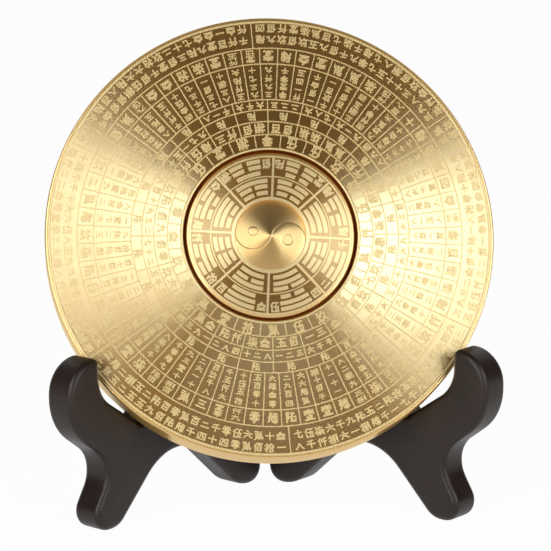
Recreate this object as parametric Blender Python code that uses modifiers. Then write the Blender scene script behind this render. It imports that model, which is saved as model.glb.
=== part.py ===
# Feng shui compass: a turned brass disc with a dial on a ball bearing, standing on a folding stand.
# The front faces -Y, +Z is up, and the origin is on the table under the middle of the whole object.

import math

import bmesh
import bpy
from mathutils import Vector

# Brass disc
disc_diameter = 0.120
disc_thickness = 0.011
disc_lean = math.radians(23.5)
rim_chamfer = 0.0009
bead_width = 0.0006
bead_height = 0.00025
collar_width = 0.0008

# Turning dial, set flush in the disc
dial_diameter = 0.0450
dial_thickness = 0.0022
dial_gap = 0.0008
dial_slope = 0.0008
floor_gap = 0.0003
border_width = 0.0005
relief_height = 0.0003
bar_width = 0.0011
split_angle = math.radians(3.7)
taiji_radius = 0.0096
taiji_ring_width = 0.0008
taiji_depth = 0.00035
dot_radius = 0.0013
dial_turn = math.radians(4.3)
taiji_turn = math.radians(15.4)

# Ball bearing 10 x 19 x 5 mm, with two shields
bearing_bore = 0.010
bearing_diameter = 0.019
bearing_width = 0.005
race_wall = 0.00135
ball_diameter = 0.0025
ball_count = 9
ball_clearance = 0.0002
cage_height = 0.0032
shield_thickness = 0.00025
shield_seat = 0.0003

# Seats, hub screw and back cover
seat_gap = 0.0003
lip_thickness = 0.0006
lip_width = 0.0025
hub_shoulder_radius = 0.0062
screw_diameter = 0.003
screw_engagement = 0.0055
screw_head_radius = 0.0060
screw_head_height = 0.0011
hex_radius = 0.0012
hex_depth = 0.0006
cover_diameter = 0.026
cover_thickness = 0.0007

# Folding stand: along the leg is measured from the hinge axis, up from the table
leg_splay = math.radians(45)
leg_thickness = 0.0092
leg_reach = 0.0762
leg_edge_radius = 0.0011
hook_height = 0.0477
hook_base_height = 0.0373
hook_slack = 0.0057
crook_reach = 0.0491
crook_height = 0.0264
rest_gap = 0.0008
upright_top_width = 0.0067
leg_end_gap = 0.0008
face_gap = 0.0003

# Hinge of the stand
knuckle_count = 5
knuckle_radius = 0.0042
knuckle_gap = 0.0004
hinge_bottom = 0.012
hinge_drop = 0.018
pin_diameter = 0.003
pin_head_radius = 0.0027
pin_head_height = 0.0012
pin_floor = 0.0020

# One overrun serves every cut, and these counts set how round the turned pieces are
overrun = 0.002
plate_steps = 96
dial_steps = 64
bearing_steps = 36
fine_steps = 24
ball_steps = 10
fillet_steps = 4
bar_step = math.radians(8)
weld_distance = 0.000002
flat_angle = math.radians(0.05)

# Lines of each trigram from the middle outwards, 1 whole and 0 split, clockwise from the top
outer_trigrams = ("000", "001", "101", "011", "111", "110", "010", "100")
inner_trigrams = ("010", "111", "100", "110", "101", "000", "011", "001")

# Places of the bars on the dial: radius as a share of the dial's, half length in degrees
outer_bar_shares = (0.758, 0.833, 0.902)
outer_bar_angles = (11.2, 12.2, 12.3)
inner_bar_shares = (0.516, 0.593, 0.660)
inner_bar_angles = (16.6, 16.8, 17.2)

# Corners of the leg's lower outline, from the hook's tip round the feet to the hinge:
# share of the reach, share of the hook's height, fillet as a share of the leg's thickness
hook_corner_shares = ((0.900, 0.992, 0.62), (1.000, 0.860, 0.62), (1.000, 0.626, 0.80))
foot_corner_shares = ((0.787, 0.371, 0.77), (0.930, 0.000, 0.49), (0.766, 0.000, 0.39))
arch_corner_shares = ((0.547, 0.352, 0.98), (0.367, 0.352, 0.78), (0.125, 0.000, 0.76))
tip_fillet_share = 0.12
wall_fillet_share = 0.58
crook_fillet_share = 0.20
heel_fillet_share = 0.50
upright_tip_share = 0.42

# Derived places of the disc's layers, as depths behind its face
disc_radius = disc_diameter / 2
dial_radius = dial_diameter / 2
recess_radius = dial_radius + dial_gap
recess_depth = dial_thickness + floor_gap
lip_back = recess_depth + lip_thickness
bearing_front = lip_back + seat_gap
bearing_back = bearing_front + bearing_width
pocket_radius = bearing_diameter / 2 + seat_gap
head_front = bearing_back + seat_gap
head_back = head_front + screw_head_height
ledge_depth = head_back + floor_gap
cover_front = ledge_depth + seat_gap
cover_back = cover_front + cover_thickness

# Derived sizes of the bearing
bearing_middle = (bearing_front + bearing_back) / 2
ring_outer_radius = bearing_diameter / 2
ring_inner_radius = bearing_bore / 2
pitch_radius = (ring_outer_radius + ring_inner_radius) / 2
ball_radius = ball_diameter / 2
groove_radius = ball_radius + ball_clearance
outer_land = ring_outer_radius - race_wall
inner_land = ring_inner_radius + race_wall

# Derived place of the stand and of the disc in its crooks
stand_front = leg_reach * math.cos(leg_splay)
stand_back = leg_thickness / math.sin(leg_splay)
hinge_y = (stand_front - stand_back) / 2
crook_x = crook_reach * math.sin(leg_splay)
crook_y = hinge_y - crook_reach * math.cos(leg_splay)
rest_drop = math.sqrt((disc_radius - rim_chamfer) ** 2 - crook_x ** 2)
back_y = crook_y + rest_drop * math.sin(disc_lean) - seat_gap / math.cos(disc_lean)
back_z = crook_height + rest_drop * math.cos(disc_lean) + rest_gap
disc_y = back_y - disc_thickness * math.cos(disc_lean)
disc_z = back_z + disc_thickness * math.sin(disc_lean)
lean_run = math.tan(disc_lean) / math.cos(leg_splay)
disc_run = disc_thickness / math.cos(disc_lean) / math.cos(leg_splay)
hook_wall = crook_reach + disc_run - (hook_base_height - crook_height) * lean_run + hook_slack

# The upright stands behind the hinge pin's head, and its sloping edge carries the disc's back
head_room = pin_head_radius + seat_gap * 2
support_top = head_room + upright_top_width
upright_height = crook_height + (crook_reach - support_top) / lean_run
hinge_top = upright_height - hinge_drop


def clear_scene():
    for old in list(bpy.data.objects):
        bpy.data.objects.remove(old, do_unlink=True)
    for group in list(bpy.data.collections):
        bpy.data.collections.remove(group)


def new_collection(name):
    group = bpy.data.collections.new(name)
    bpy.context.scene.collection.children.link(group)
    return group


def new_material(name, colour, roughness, metallic):
    made = bpy.data.materials.new(name)
    made.use_nodes = True
    shader = made.node_tree.nodes["Principled BSDF"]
    shader.inputs["Base Color"].default_value = (*colour, 1)
    shader.inputs["Roughness"].default_value = roughness
    shader.inputs["Metallic"].default_value = metallic
    made.diffuse_color = (*colour, 1)
    return made


clear_scene()
parts = new_collection("feng_shui_compass")
cutters = new_collection("cutters")

brass = new_material("turned_brass", (0.72, 0.52, 0.22), 0.28, 1)
steel = new_material("bearing_steel", (0.60, 0.61, 0.63), 0.22, 1)
bronze = new_material("cage_bronze", (0.50, 0.36, 0.20), 0.40, 1)
zinc = new_material("zinc_plated_steel", (0.66, 0.67, 0.70), 0.35, 1)
plastic = new_material("dark_moulded_plastic", (0.045, 0.036, 0.031), 0.38, 0)


def add_empty(name, location, turn):
    empty = bpy.data.objects.new(name, None)
    empty.location = location
    empty.rotation_euler = turn
    empty.hide_render = True
    parts.objects.link(empty)
    return empty


def add_object(name, mesh, material, parent, group=parts):
    made = bpy.data.objects.new(name, mesh)
    made.parent = parent
    if material:
        mesh.materials.append(material)
    group.objects.link(made)
    if group is cutters:
        made.hide_render = True
        made.display_type = "WIRE"
    return made


def mesh_from(bm, name):
    mesh = bpy.data.meshes.new(name)
    bm.to_mesh(mesh)
    bm.free()
    return mesh


# A closed profile is a ring; an open one starts and ends on the axis. Both run down the outer side.
def turned(name, profile, steps, material, parent, group=parts):
    closed = profile[0][0] > 0
    count = len(profile)
    edges = [(i, i + 1) for i in range(count - 1)]
    if closed:
        edges.append((count - 1, 0))
    mesh = bpy.data.meshes.new(name)
    mesh.from_pydata([(r, 0, z) for r, z in profile], edges, [])
    made = add_object(name, mesh, material, parent, group)
    screw = made.modifiers.new("turn", "SCREW")
    screw.axis = "Z"
    screw.angle = math.tau
    screw.steps = steps
    screw.render_steps = steps
    screw.use_merge_vertices = True
    screw.merge_threshold = weld_distance
    screw.use_smooth_shade = False
    return made


# Joins each flat stretch into one face, so that a cut isn't split along the turning's spokes
def flatten(target):
    step = target.modifiers.new("flat_faces", "DECIMATE")
    step.decimate_type = "DISSOLVE"
    step.angle_limit = flat_angle


def cut(target, tool, operation="DIFFERENCE"):
    step = target.modifiers.new(tool.name, "BOOLEAN")
    step.operation = operation
    step.solver = "EXACT"
    step.object = tool


# Lays a closed outline in the XY plane and gives it a thickness, centred on z
def flat_plate(name, outline, thickness, z, edge_radius=0):
    curve = bpy.data.curves.new(name, "CURVE")
    curve.dimensions = "2D"
    curve.fill_mode = "BOTH"
    curve.extrude = thickness / 2 - edge_radius
    curve.bevel_depth = edge_radius
    curve.bevel_resolution = 1
    curve.offset = -edge_radius
    spline = curve.splines.new("POLY")
    spline.points.add(len(outline) - 1)
    for point, (x, y) in zip(spline.points, outline):
        point.co = (x, y, 0, 1)
    spline.use_cyclic_u = True
    holder = bpy.data.objects.new(name, curve)
    bpy.context.scene.collection.objects.link(holder)
    bpy.context.view_layer.update()
    evaluated = holder.evaluated_get(bpy.context.evaluated_depsgraph_get())
    mesh = bpy.data.meshes.new_from_object(evaluated)
    bpy.data.objects.remove(holder, do_unlink=True)
    bpy.data.curves.remove(curve)
    bm = bmesh.new()
    bm.from_mesh(mesh)
    bmesh.ops.remove_doubles(bm, verts=bm.verts, dist=weld_distance)
    bmesh.ops.recalc_face_normals(bm, faces=bm.faces)
    bmesh.ops.translate(bm, verts=bm.verts, vec=(0, 0, z))
    bm.to_mesh(mesh)
    bm.free()
    mesh.materials.clear()
    return mesh


def arc(centre, radius, start, end, steps):
    angles = [start + (end - start) * i / steps for i in range(steps + 1)]
    return [(centre[0] + radius * math.cos(a), centre[1] + radius * math.sin(a)) for a in angles]


# Rounds each corner of an outline: a corner is its x, its y and its fillet radius
def rounded(corners):
    outline = []
    count = len(corners)
    for i, (x, y, radius) in enumerate(corners):
        here = Vector((x, y))
        back = (Vector(corners[i - 1][:2]) - here).normalized()
        ahead = (Vector(corners[(i + 1) % count][:2]) - here).normalized()
        half = back.angle(ahead) / 2
        middle = here + (back + ahead).normalized() * radius / math.sin(half)
        first = here + back * radius / math.tan(half) - middle
        last = here + ahead * radius / math.tan(half) - middle
        sweep = first.angle_signed(last)
        for step in range(fillet_steps + 1):
            turn = -sweep * step / fillet_steps
            x_part = first.x * math.cos(turn) - first.y * math.sin(turn)
            y_part = first.x * math.sin(turn) + first.y * math.cos(turn)
            outline.append((middle.x + x_part, middle.y + y_part))
    return outline


# Disc frame: its Z axis points out of the face, its Y axis up the face
disc_frame = add_empty("disc_frame", (0, disc_y, disc_z), (math.pi / 2 - disc_lean, 0, 0))
dial_frame = add_empty("dial_frame", (0, 0, 0), (0, 0, -dial_turn))
dial_frame.parent = disc_frame


def build_outer_plate():
    bead_outer = disc_radius - rim_chamfer
    bead_inner = bead_outer - bead_width
    collar_outer = recess_radius + collar_width
    lip_radius = pocket_radius - lip_width
    cover_radius = cover_diameter / 2 + seat_gap
    profile = [
        (recess_radius, bead_height), (collar_outer, bead_height), (collar_outer, 0),
        (bead_inner, 0), (bead_inner, bead_height), (bead_outer, bead_height),
        (disc_radius, bead_height - rim_chamfer), (disc_radius, rim_chamfer - disc_thickness),
        (disc_radius - rim_chamfer, -disc_thickness), (cover_radius, -disc_thickness),
        (cover_radius, -ledge_depth), (pocket_radius, -ledge_depth), (pocket_radius, -lip_back),
        (lip_radius, -lip_back), (lip_radius, -recess_depth), (recess_radius, -recess_depth),
    ]
    turned("outer_plate", profile, plate_steps, brass, disc_frame)


# One bar of a trigram: a curved strip between two angles, clockwise from the top
def add_bar(bm, radius, start, end):
    steps = max(2, math.ceil((end - start) / bar_step))
    rings = []
    for z in (-relief_height, relief_height):
        inner = []
        outer = []
        for i in range(steps + 1):
            a = start + (end - start) * i / steps
            inner.append(bm.verts.new(((radius - bar_width / 2) * math.sin(a),
                                       (radius - bar_width / 2) * math.cos(a), z)))
            outer.append(bm.verts.new(((radius + bar_width / 2) * math.sin(a),
                                       (radius + bar_width / 2) * math.cos(a), z)))
        rings.append(inner + outer[::-1])
    bottom, top = rings
    bm.faces.new(bottom)
    bm.faces.new(top[::-1])
    for i in range(len(top)):
        j = (i + 1) % len(top)
        bm.faces.new((bottom[j], bottom[i], top[i], top[j]))


def build_bars():
    bm = bmesh.new()
    bands = ((outer_trigrams, outer_bar_shares, outer_bar_angles),
             (inner_trigrams, inner_bar_shares, inner_bar_angles))
    sector = math.tau / len(outer_trigrams)
    for trigrams, shares, angles in bands:
        for place, trigram in enumerate(trigrams):
            middle = sector * (place + 0.5)
            for line, share, angle in zip(trigram, shares, angles):
                radius = share * dial_radius
                reach = math.radians(angle)
                split = split_angle / 2 if line == "0" else 0
                if split:
                    add_bar(bm, radius, middle - reach, middle - split)
                    add_bar(bm, radius, middle + split, middle + reach)
                else:
                    add_bar(bm, radius, middle - reach, middle + reach)
    bmesh.ops.recalc_face_normals(bm, faces=bm.faces)
    return add_object("trigram_bars", mesh_from(bm, "trigram_bars"), None, dial_frame, cutters)


def build_inner_dial():
    spigot_radius = ring_inner_radius - seat_gap
    shoulder_back = bearing_front - seat_gap
    spigot_back = bearing_back - seat_gap
    bore_radius = screw_diameter / 2 + seat_gap
    bore_top = head_front - screw_engagement - seat_gap
    border_outer = dial_radius - dial_slope
    border_inner = border_outer - border_width
    ring_outer = taiji_radius + taiji_ring_width
    profile = [
        (0, -taiji_depth), (taiji_radius, -taiji_depth), (taiji_radius, relief_height),
        (ring_outer, relief_height), (ring_outer, 0), (border_inner, 0),
        (border_inner, relief_height), (border_outer, relief_height),
        (dial_radius, relief_height - dial_slope), (dial_radius, -dial_thickness),
        (hub_shoulder_radius, -dial_thickness), (hub_shoulder_radius, -shoulder_back),
        (spigot_radius, -shoulder_back), (spigot_radius, -spigot_back),
        (bore_radius, -spigot_back), (bore_radius, -bore_top), (0, -bore_top),
    ]
    dial = turned("inner_dial", profile, dial_steps, brass, dial_frame)
    flatten(dial)
    cut(dial, build_bars(), "UNION")

    # The raised half of the taiji: big half circle below, one small half circle out, one small in
    steps = dial_steps // 2
    half = taiji_radius / 2
    outline = arc((0, 0), taiji_radius + taiji_ring_width / 2, 0, -math.pi, steps)
    outline += arc((-half, 0), half, -math.pi, 0, steps // 2)[:-1]
    outline += arc((half, 0), half, math.pi, 0, steps // 2)
    comma_height = taiji_depth * 2
    comma_mesh = flat_plate("taiji_comma", outline, comma_height, -taiji_depth)
    comma = add_object("taiji_comma", comma_mesh, None, dial_frame, cutters)
    comma.rotation_euler = (0, 0, dial_turn - taiji_turn)
    cut(dial, comma, "UNION")

    for name, side, operation in (("raised_dot", -1, "UNION"), ("sunk_dot", 1, "DIFFERENCE")):
        bm = bmesh.new()
        bmesh.ops.create_cone(bm, cap_ends=True, segments=fine_steps, radius1=dot_radius,
                              radius2=dot_radius, depth=comma_height)
        dot = add_object(name, mesh_from(bm, name), None, comma, cutters)
        lift = -taiji_depth if side < 0 else 0
        dot.location = (side * half, 0, lift)
        cut(dial, dot, operation)
    return dial


def groove_arc(mouth_radius, outward):
    reach = mouth_radius - pitch_radius
    open_half = math.acos(reach * outward / groove_radius)
    start, end = (-open_half, open_half) if outward > 0 else (math.pi - open_half, math.pi + open_half)
    return arc((pitch_radius, -bearing_middle), groove_radius, start, end, fillet_steps + 1)


def build_bearing():
    step_radius = outer_land + shield_seat
    shield_depth = shield_thickness + seat_gap
    front, back = -bearing_front, -bearing_back
    outer_profile = [
        (step_radius, front), (ring_outer_radius, front), (ring_outer_radius, back),
        (step_radius, back), (step_radius, back + shield_depth), (outer_land, back + shield_depth),
        *groove_arc(outer_land, 1),
        (outer_land, front - shield_depth), (step_radius, front - shield_depth),
    ]
    turned("bearing_outer_ring", outer_profile, bearing_steps, steel, disc_frame)
    inner_profile = [
        (ring_inner_radius, front), (inner_land, front), *groove_arc(inner_land, -1),
        (inner_land, back), (ring_inner_radius, back),
    ]
    turned("bearing_inner_ring", inner_profile, bearing_steps, steel, disc_frame)

    cage_outer = outer_land - seat_gap
    cage_inner = inner_land + seat_gap
    cage_top = -bearing_middle + cage_height / 2
    cage_bottom = cage_top - cage_height
    cage_profile = [(cage_inner, cage_top), (cage_outer, cage_top), (cage_outer, cage_bottom),
                    (cage_inner, cage_bottom)]
    cage = turned("bearing_cage", cage_profile, bearing_steps, bronze, disc_frame)

    bm = bmesh.new()
    bmesh.ops.create_uvsphere(bm, u_segments=ball_steps, v_segments=ball_steps - 2,
                              radius=ball_radius)
    ball_mesh = mesh_from(bm, "bearing_ball")
    ball_mesh.materials.append(steel)
    for i in range(ball_count):
        a = math.tau * (i + 0.5) / ball_count
        place = (pitch_radius * math.cos(a), pitch_radius * math.sin(a), -bearing_middle)
        ball = bpy.data.objects.new(f"bearing_ball_{i + 1}", ball_mesh)
        ball.parent = disc_frame
        ball.location = place
        parts.objects.link(ball)
        bm = bmesh.new()
        bmesh.ops.create_cone(bm, cap_ends=True, segments=ball_steps, radius1=groove_radius,
                              radius2=groove_radius, depth=race_wall * 2)
        pocket = add_object(f"ball_pocket_{i + 1}", mesh_from(bm, "ball_pocket"), None,
                            disc_frame, cutters)
        pocket.location = place
        pocket.rotation_euler = (0, math.pi / 2, a)
        cut(cage, pocket)

    shield_outer = step_radius - seat_gap
    shield_inner = inner_land + seat_gap
    for name, top in (("bearing_shield_front", front),
                      ("bearing_shield_rear", back + shield_thickness)):
        bottom = top - shield_thickness
        profile = [(shield_inner, top), (shield_outer, top), (shield_outer, bottom),
                   (shield_inner, bottom)]
        turned(name, profile, bearing_steps, steel, disc_frame)


def build_hub_screw():
    shank = screw_diameter / 2
    tip = head_front - screw_engagement
    profile = [(0, -tip), (shank, -tip), (shank, -head_front), (screw_head_radius, -head_front),
               (screw_head_radius, -head_back), (0, -head_back)]
    screw = turned("hub_screw", profile, fine_steps, zinc, disc_frame)
    bm = bmesh.new()
    bmesh.ops.create_cone(bm, cap_ends=True, segments=6, radius1=hex_radius,
                          radius2=hex_radius, depth=hex_depth * 2)
    socket = add_object("hex_socket", mesh_from(bm, "hex_socket"), None, disc_frame, cutters)
    socket.location = (0, 0, -head_back)
    cut(screw, socket)


def build_back_cover():
    radius = cover_diameter / 2
    profile = [(0, -cover_front), (radius, -cover_front), (radius, -cover_back), (0, -cover_back)]
    turned("back_cover", profile, bearing_steps, brass, disc_frame)


# The leg's side outline, measured along the leg from the hinge axis and up from the table
def leg_outline():
    def scaled(shares):
        return [(u * leg_reach, v * hook_height, r * leg_thickness) for u, v, r in shares]

    tip_radius = upright_top_width * upright_tip_share
    corners = [(hook_wall, hook_height, tip_fillet_share * leg_thickness)]
    corners += scaled(hook_corner_shares)
    corners += scaled(foot_corner_shares)
    corners += scaled(arch_corner_shares)
    corners += [
        (leg_end_gap, 0, heel_fillet_share * leg_thickness),
        (leg_end_gap, hinge_top, leg_edge_radius),
        (head_room, hinge_top, leg_edge_radius),
        (head_room, upright_height, tip_radius),
        (support_top, upright_height, tip_radius),
        (crook_reach, crook_height, crook_fillet_share * leg_thickness),
        (hook_wall, hook_base_height, wall_fillet_share * leg_thickness),
    ]
    return rounded(corners)


def cylinder_along_z(name, radius, bottom, top, parent):
    bm = bmesh.new()
    bmesh.ops.create_cone(bm, cap_ends=True, segments=fine_steps, radius1=radius,
                          radius2=radius, depth=top - bottom)
    made = add_object(name, mesh_from(bm, name), None, parent, cutters)
    made.location = (0, 0, (bottom + top) / 2)
    return made


# Each leg is a plate beside the hinge axis, with a mitred spine and every second knuckle.
# side is 1 for the right leg, whose thickness grows along its frame's +Y, and -1 for the left one.
def build_leg(name, side):
    frame = add_empty(f"{name}_frame", (0, hinge_y, 0),
                      (0, 0, -math.pi / 2 + side * leg_splay))
    inner = face_gap / 2
    outer = inner + leg_thickness
    mesh = flat_plate(name, leg_outline(), leg_thickness, 0, leg_edge_radius)
    leg = add_object(name, mesh, plastic, frame)
    leg.rotation_euler = (math.pi / 2, 0, 0)
    leg.location = (0, side * (inner + outer) / 2, 0)

    # The spine runs back to the middle plane, where the opened legs stop against each other
    def mitre(across):
        return (inner - across * math.cos(leg_splay)) / math.sin(leg_splay)

    root = leg_end_gap + leg_edge_radius * 2
    corner = outer - leg_edge_radius
    spine_outline = [(root, inner), (root, outer), (mitre(corner), outer), (mitre(corner), corner),
                     (mitre(inner), inner)]
    spine_outline = [(u, side * w) for u, w in spine_outline]
    spine_top = hinge_top - leg_edge_radius * 2
    spine_mesh = flat_plate(f"{name}_spine", spine_outline, spine_top - hinge_bottom,
                            (spine_top + hinge_bottom) / 2)
    spine = add_object(f"{name}_spine", spine_mesh, None, frame, cutters)
    cut(leg, spine, "UNION")

    band = (hinge_top - hinge_bottom) / knuckle_count
    for i in range(knuckle_count):
        bottom = hinge_bottom + band * i
        top = bottom + band
        own = (i % 2 == 0) == (side < 0)
        if own:
            knuckle = cylinder_along_z(f"{name}_knuckle_{i + 1}", knuckle_radius,
                                       bottom + knuckle_gap / 2, top - knuckle_gap / 2, frame)
            cut(leg, knuckle, "UNION")
        else:
            room = cylinder_along_z(f"{name}_room_{i + 1}", knuckle_radius + knuckle_gap,
                                    bottom - knuckle_gap / 2, top + knuckle_gap / 2, frame)
            cut(leg, room)
    bore = cylinder_along_z(f"{name}_bore", pin_diameter / 2 + seat_gap,
                            hinge_bottom + pin_floor - seat_gap, hinge_top + overrun, frame)
    cut(leg, bore)


# The pin drops in from the top and stands on the floor of the lowest knuckle
def build_hinge_pin():
    frame = add_empty("hinge_frame", (0, hinge_y, 0), (0, 0, 0))
    radius = pin_diameter / 2
    head_bottom = hinge_top + seat_gap
    head_top = head_bottom + pin_head_height
    pin_bottom = hinge_bottom + pin_floor
    profile = [(0, head_top), (pin_head_radius, head_top), (pin_head_radius, head_bottom),
               (radius, head_bottom), (radius, pin_bottom), (0, pin_bottom)]
    turned("hinge_pin", profile, fine_steps, zinc, frame)


build_outer_plate()
build_inner_dial()
build_bearing()
build_hub_screw()
build_back_cover()
build_leg("left_leg", -1)
build_leg("right_leg", 1)
build_hinge_pin()
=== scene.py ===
# Feng shui compass on its folding stand: the visible model, its materials, lights and camera
import math
import random

import bmesh
import bpy
from mathutils import Matrix, Vector


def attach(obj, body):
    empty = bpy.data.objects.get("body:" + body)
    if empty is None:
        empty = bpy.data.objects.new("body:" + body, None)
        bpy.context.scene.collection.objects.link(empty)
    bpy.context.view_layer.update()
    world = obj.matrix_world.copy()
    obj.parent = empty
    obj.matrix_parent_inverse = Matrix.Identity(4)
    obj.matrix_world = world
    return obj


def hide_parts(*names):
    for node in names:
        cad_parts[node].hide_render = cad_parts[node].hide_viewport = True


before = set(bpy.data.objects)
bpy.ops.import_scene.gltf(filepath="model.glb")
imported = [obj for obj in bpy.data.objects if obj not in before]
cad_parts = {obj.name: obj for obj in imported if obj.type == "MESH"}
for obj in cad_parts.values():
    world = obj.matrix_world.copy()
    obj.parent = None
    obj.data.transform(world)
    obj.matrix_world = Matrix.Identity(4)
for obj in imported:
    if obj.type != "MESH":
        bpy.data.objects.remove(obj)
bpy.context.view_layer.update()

mm = 0.001
print("frame loaded")


# Helpers

def hexToLinear(code):
    values = [int(code[i:i + 2], 16) / 255 for i in (1, 3, 5)]
    return tuple(v / 12.92 if v <= 0.04045 else ((v + 0.055) / 1.055) ** 2.4 for v in values) + (1,)


def addNode(tree, kind, settings=None, links=None):
    node = tree.nodes.new(kind)
    for key, value in (settings or {}).items():
        if isinstance(key, str) and hasattr(node, key):
            setattr(node, key, value)
        else:
            node.inputs[key].default_value = value
    for key, source in (links or {}).items():
        tree.links.new(source, node.inputs[key])
    return node


def startMaterial(name):
    material = bpy.data.materials.new(name)
    material.use_nodes = True
    tree = material.node_tree
    tree.nodes.clear()
    shader = tree.nodes.new("ShaderNodeBsdfPrincipled")
    output = tree.nodes.new("ShaderNodeOutputMaterial")
    tree.links.new(shader.outputs["BSDF"], output.inputs["Surface"])
    return material, tree, shader


def makePiece(name, mesh, material, place, body, smoothAngle=None):
    piece = bpy.data.objects.new(name, mesh)
    bpy.context.scene.collection.objects.link(piece)
    piece.matrix_world = place
    mesh.materials.clear()
    mesh.materials.append(material)
    if smoothAngle is not None:
        mesh.polygons.foreach_set("use_smooth", [True] * len(mesh.polygons))
        mesh.set_sharp_from_angle(angle=math.radians(smoothAngle))
    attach(piece, body)
    return piece


def meshFromBm(bm, name):
    mesh = bpy.data.meshes.new(name)
    bmesh.ops.recalc_face_normals(bm, faces=bm.faces)
    bm.to_mesh(mesh)
    bm.free()
    return mesh


# Turns a profile of (radius, height) about Z; it is a closed ring where it keeps off the axis
def addLathe(bm, profile, steps):
    closed = min(r for r, z in profile) > 0
    turns = [math.tau * i / steps for i in range(steps)]
    rings = []
    for r, z in profile:
        if r == 0:
            rings.append([bm.verts.new((0, 0, z))])
            continue
        rings.append([bm.verts.new((r * math.sin(turn), r * math.cos(turn), z)) for turn in turns])
    pairs = list(zip(rings, rings[1:]))
    if closed:
        pairs.append((rings[-1], rings[0]))
    for low, high in pairs:
        for i in range(steps):
            j = (i + 1) % steps
            corners = [low[i % len(low)], low[j % len(low)], high[j % len(high)], high[i % len(high)]]
            unique = []
            for corner in corners:
                if corner not in unique:
                    unique.append(corner)
            if len(unique) > 2:
                bm.faces.new(unique)


# Rounds the corners of a profile of (radius, height, fillet)
def filleted(corners, steps=4):
    points = []
    count = len(corners)
    for i, (x, y, radius) in enumerate(corners):
        if radius == 0:
            points.append((x, y))
            continue
        here = Vector((x, y))
        back = (Vector(corners[i - 1][:2]) - here).normalized()
        ahead = (Vector(corners[(i + 1) % count][:2]) - here).normalized()
        half = back.angle(ahead) / 2
        middle = here + (back + ahead).normalized() * radius / math.sin(half)
        first = here + back * radius / math.tan(half) - middle
        last = here + ahead * radius / math.tan(half) - middle
        sweep = first.angle_signed(last)
        for step in range(steps + 1):
            turn = -sweep * step / steps
            points.append((middle.x + first.x * math.cos(turn) - first.y * math.sin(turn),
                           middle.y + first.x * math.sin(turn) + first.y * math.cos(turn)))
    return points


# Places in the part's own frame, the same as the solids'

disc = {"radius": 60 * mm, "thickness": 11 * mm, "lean": 23.5, "centre": (0, -5.6274 * mm, 75.4463 * mm),
        "dialTurn": 4.3, "taijiTurn": 15.4}
stand = {"hingeY": 20.4354 * mm, "splay": 45}

discPlace = (Matrix.Translation(disc["centre"])
             @ Matrix.Rotation(math.radians(90 - disc["lean"]), 4, "X"))
dialPlace = discPlace @ Matrix.Rotation(-math.radians(disc["dialTurn"]), 4, "Z")
hingePlace = Matrix.Translation((0, stand["hingeY"], 0))


# Camera: its angle, distance and lens come from the outline of the disc and of both legs in the photo

camera = {"azimuth": 4.406, "elevation": 12.59, "roll": -0.315, "distance": 0.8146,
          "target": (3.786 * mm, 26.9 * mm, 57.08 * mm), "lens": 190.95, "sensor": 36, "nearest": 10 * mm}


def makeCamera():
    az, el, roll = (math.radians(camera[k]) for k in ("azimuth", "elevation", "roll"))
    away = Vector((-math.sin(az) * math.cos(el), -math.cos(az) * math.cos(el), math.sin(el)))
    right = (-away).cross(Vector((0, 0, 1))).normalized()
    up = right.cross(-away)
    rightRolled = right * math.cos(roll) + up * math.sin(roll)
    upRolled = up * math.cos(roll) - right * math.sin(roll)
    data = bpy.data.cameras.new("camera")
    data.sensor_width = camera["sensor"]
    data.lens = camera["lens"]
    data.clip_start = camera["nearest"]
    view = bpy.data.objects.new("camera", data)
    turn = Matrix((rightRolled, upRolled, away)).transposed().to_4x4()
    view.matrix_world = Matrix.Translation(Vector(camera["target"]) + away * camera["distance"]) @ turn
    bpy.context.scene.collection.objects.link(view)
    bpy.context.scene.camera = view


makeCamera()
print("camera placed")


# Materials

# Brass, turned on a lathe, toned brown and lacquered: the feed marks run round the axis, so the lacquer in
# them throws a pale bow tie of light out from the middle, over a deep gold that shows from all sides
turnedBrassLook = {"colour": "#aa782e", "roughness": 0.56, "anisotropy": 0.5, "lean": 0.17, "dome": 0.14,
                   "groovePitch": 0.35, "grooveDepth": 0.0016, "tint": (0.9, 1.08), "gloss": "#fff5c6",
                   "glossRoughness": 0.305, "glossAnisotropy": -0.5, "glossShare": 0.55, "glossLean": -0.04,
                   "patch": 6, "patchSwing": 0.12}
dialBrassLook = dict(turnedBrassLook, colour="#93692c", lean=0.0, dome=0.0, gloss="#ffe9b4", glossShare=0.4,
                     glossLean=0.0)
# The taiji is wiped clean of toning and turned deeper, so its face catches light as a shallow cone would,
# dark above the axis and pale to its sides
taijiBrassLook = dict(turnedBrassLook, colour="#d0ab6e", roughness=0.45, lean=0.55, dome=0.0,
                      gloss="#ffe6a8", glossRoughness=0.34, glossAnisotropy=-0.4, glossShare=0.35,
                      glossLean=0.04)
# Edges turned smooth, without etching or toning
rimBrassLook = dict(turnedBrassLook, colour="#d3a75f", roughness=0.5, lean=0.0, dome=0.0, gloss="#ffeebd",
                    glossShare=0.3, glossLean=0.0)
# Brass left proud between the etched grounds, with a fine matt grain: much the same pale gold all round
raisedBrassLook = dict(turnedBrassLook, colour="#d1ba86", anisotropy=0.0, lean=0.04, dome=0.0,
                       glossShare=0.13)
# On the dial these parts are turned along with the rest of its face, and shine with it. The same paler brass
# lies on the taiji's rounded edges as a painted highlight
dialReliefAndSheenLook = dict(raisedBrassLook, colour="#e6cf9b", anisotropy=0.45, glossShare=0.22)
# Walls of the gap round the dial, and the steep walls of the taiji's steps: painted shade and painted
# reflection, a dull red gold that stands for the shade deep in the narrow gap and for brass seen in brass
paintedShadeBrassLook = dict(turnedBrassLook, colour="#a1591e", roughness=0.6, lean=0.0, glossShare=0.0)


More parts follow.
